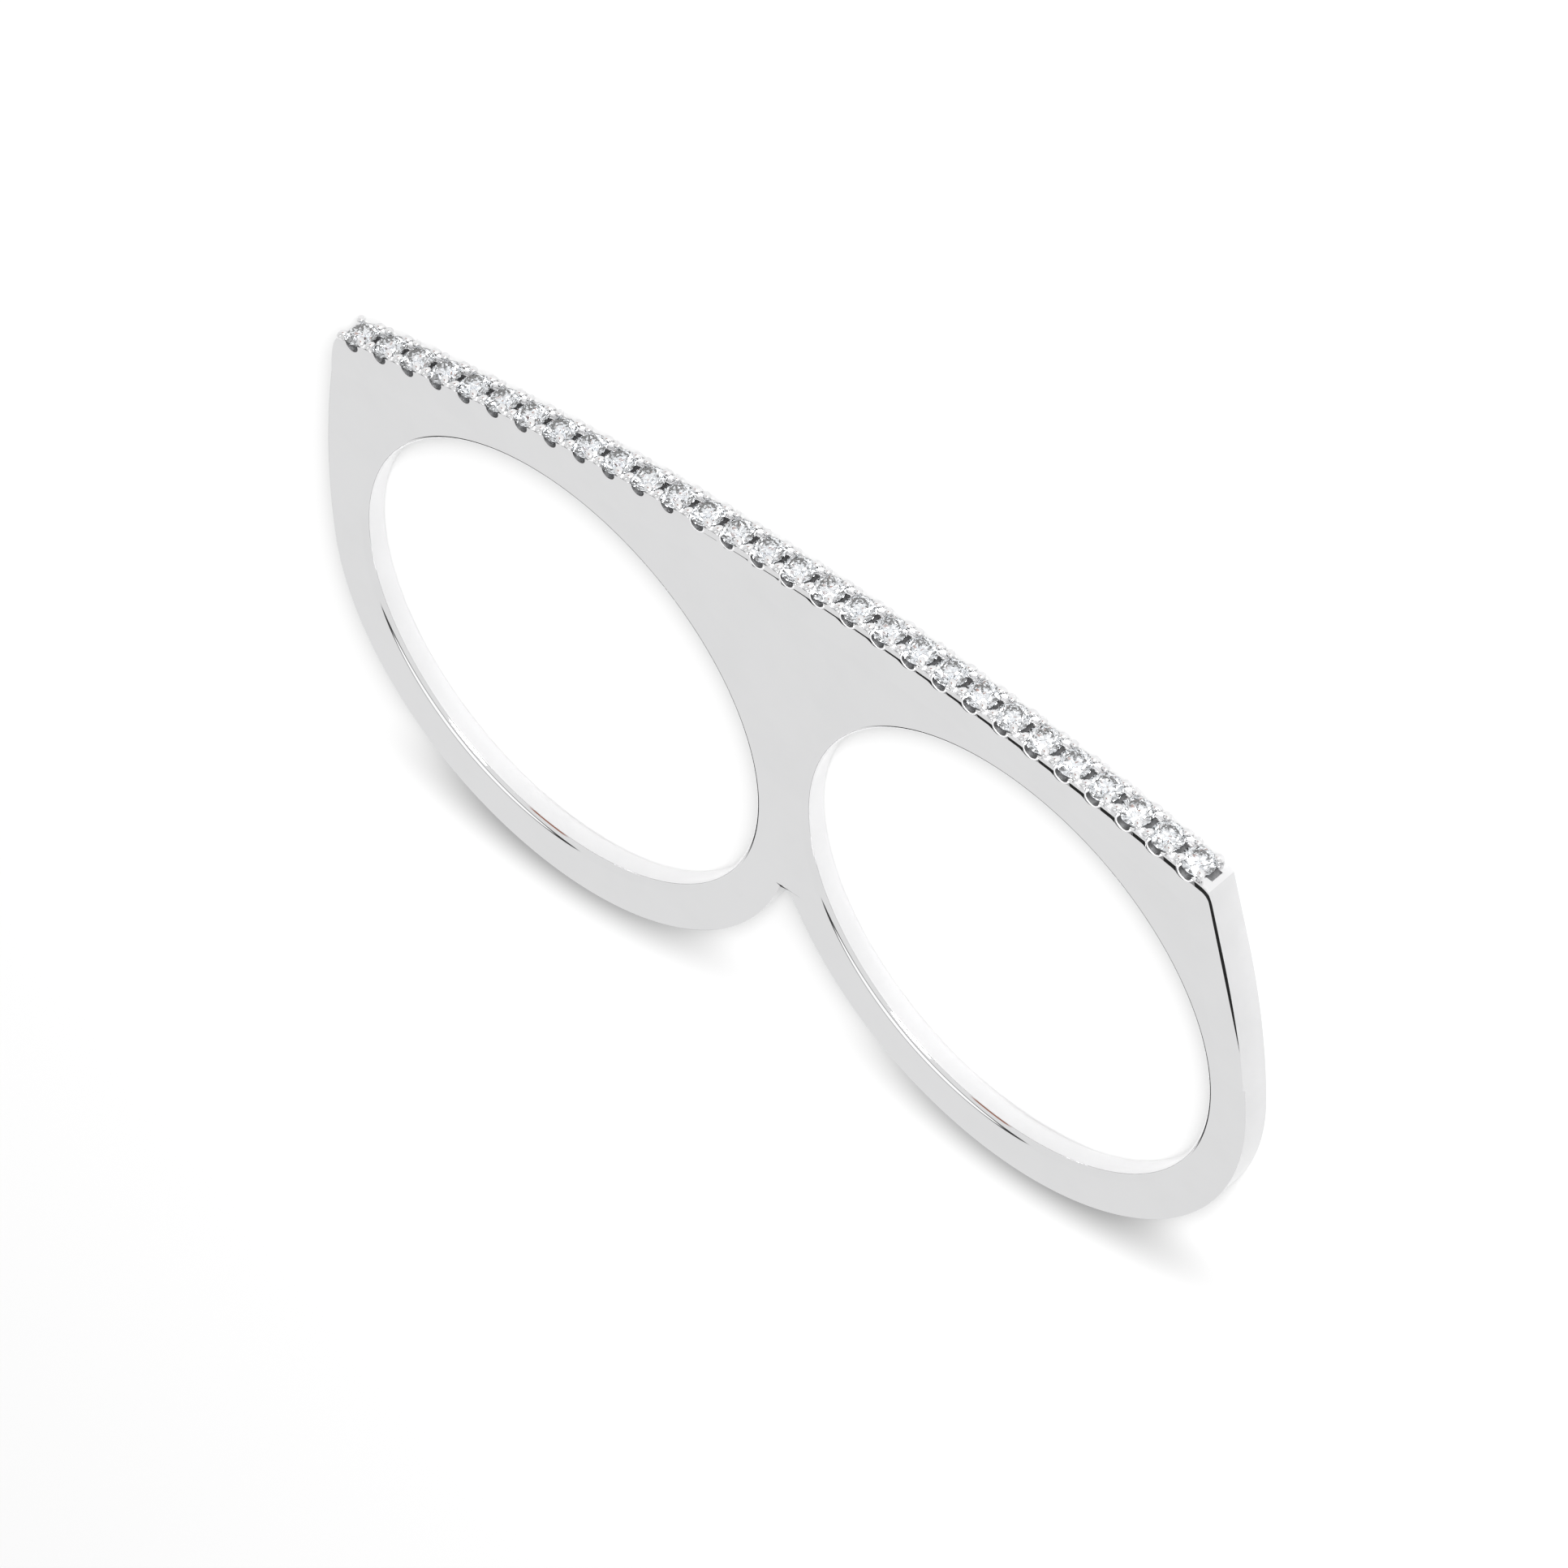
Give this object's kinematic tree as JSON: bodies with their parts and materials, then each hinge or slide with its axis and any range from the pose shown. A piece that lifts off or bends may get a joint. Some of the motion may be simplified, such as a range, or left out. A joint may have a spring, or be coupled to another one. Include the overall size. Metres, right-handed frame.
{
  "type": "double ring",
  "caption": "Double finger ring: joined finger loops under an arched bar that carries a row of small round cut stones.",
  "frame": {"origin": "on the flat back face, midway between the finger holes' centres and level with the left hole's centre", "axes": "+X along the row of stones to the viewer's right, +Y from the shanks towards the stones, +Z along the fingers, out of the front face"},
  "size_m": [0.0398, 0.0222, 0.0012],
  "materials": {
    "white_gold": "mirror polish",
    "cut_stone": "cut and polished"
  },
  "bodies": {
    "root": {"ring_body": "white_gold", "stone_01": "cut_stone", "stone_02": "cut_stone", "stone_03": "cut_stone", "stone_04": "cut_stone", "stone_05": "cut_stone", "stone_06": "cut_stone", "stone_07": "cut_stone", "stone_08": "cut_stone", "stone_09": "cut_stone", "stone_10": "cut_stone", "stone_11": "cut_stone", "stone_12": "cut_stone", "stone_13": "cut_stone", "stone_14": "cut_stone", "stone_15": "cut_stone", "stone_16": "cut_stone", "stone_17": "cut_stone", "stone_18": "cut_stone", "stone_19": "cut_stone", "stone_20": "cut_stone", "stone_21": "cut_stone", "stone_22": "cut_stone", "stone_23": "cut_stone", "stone_24": "cut_stone", "stone_25": "cut_stone", "stone_26": "cut_stone", "stone_27": "cut_stone", "stone_28": "cut_stone", "stone_29": "cut_stone"}
  },
  "joints": []
}
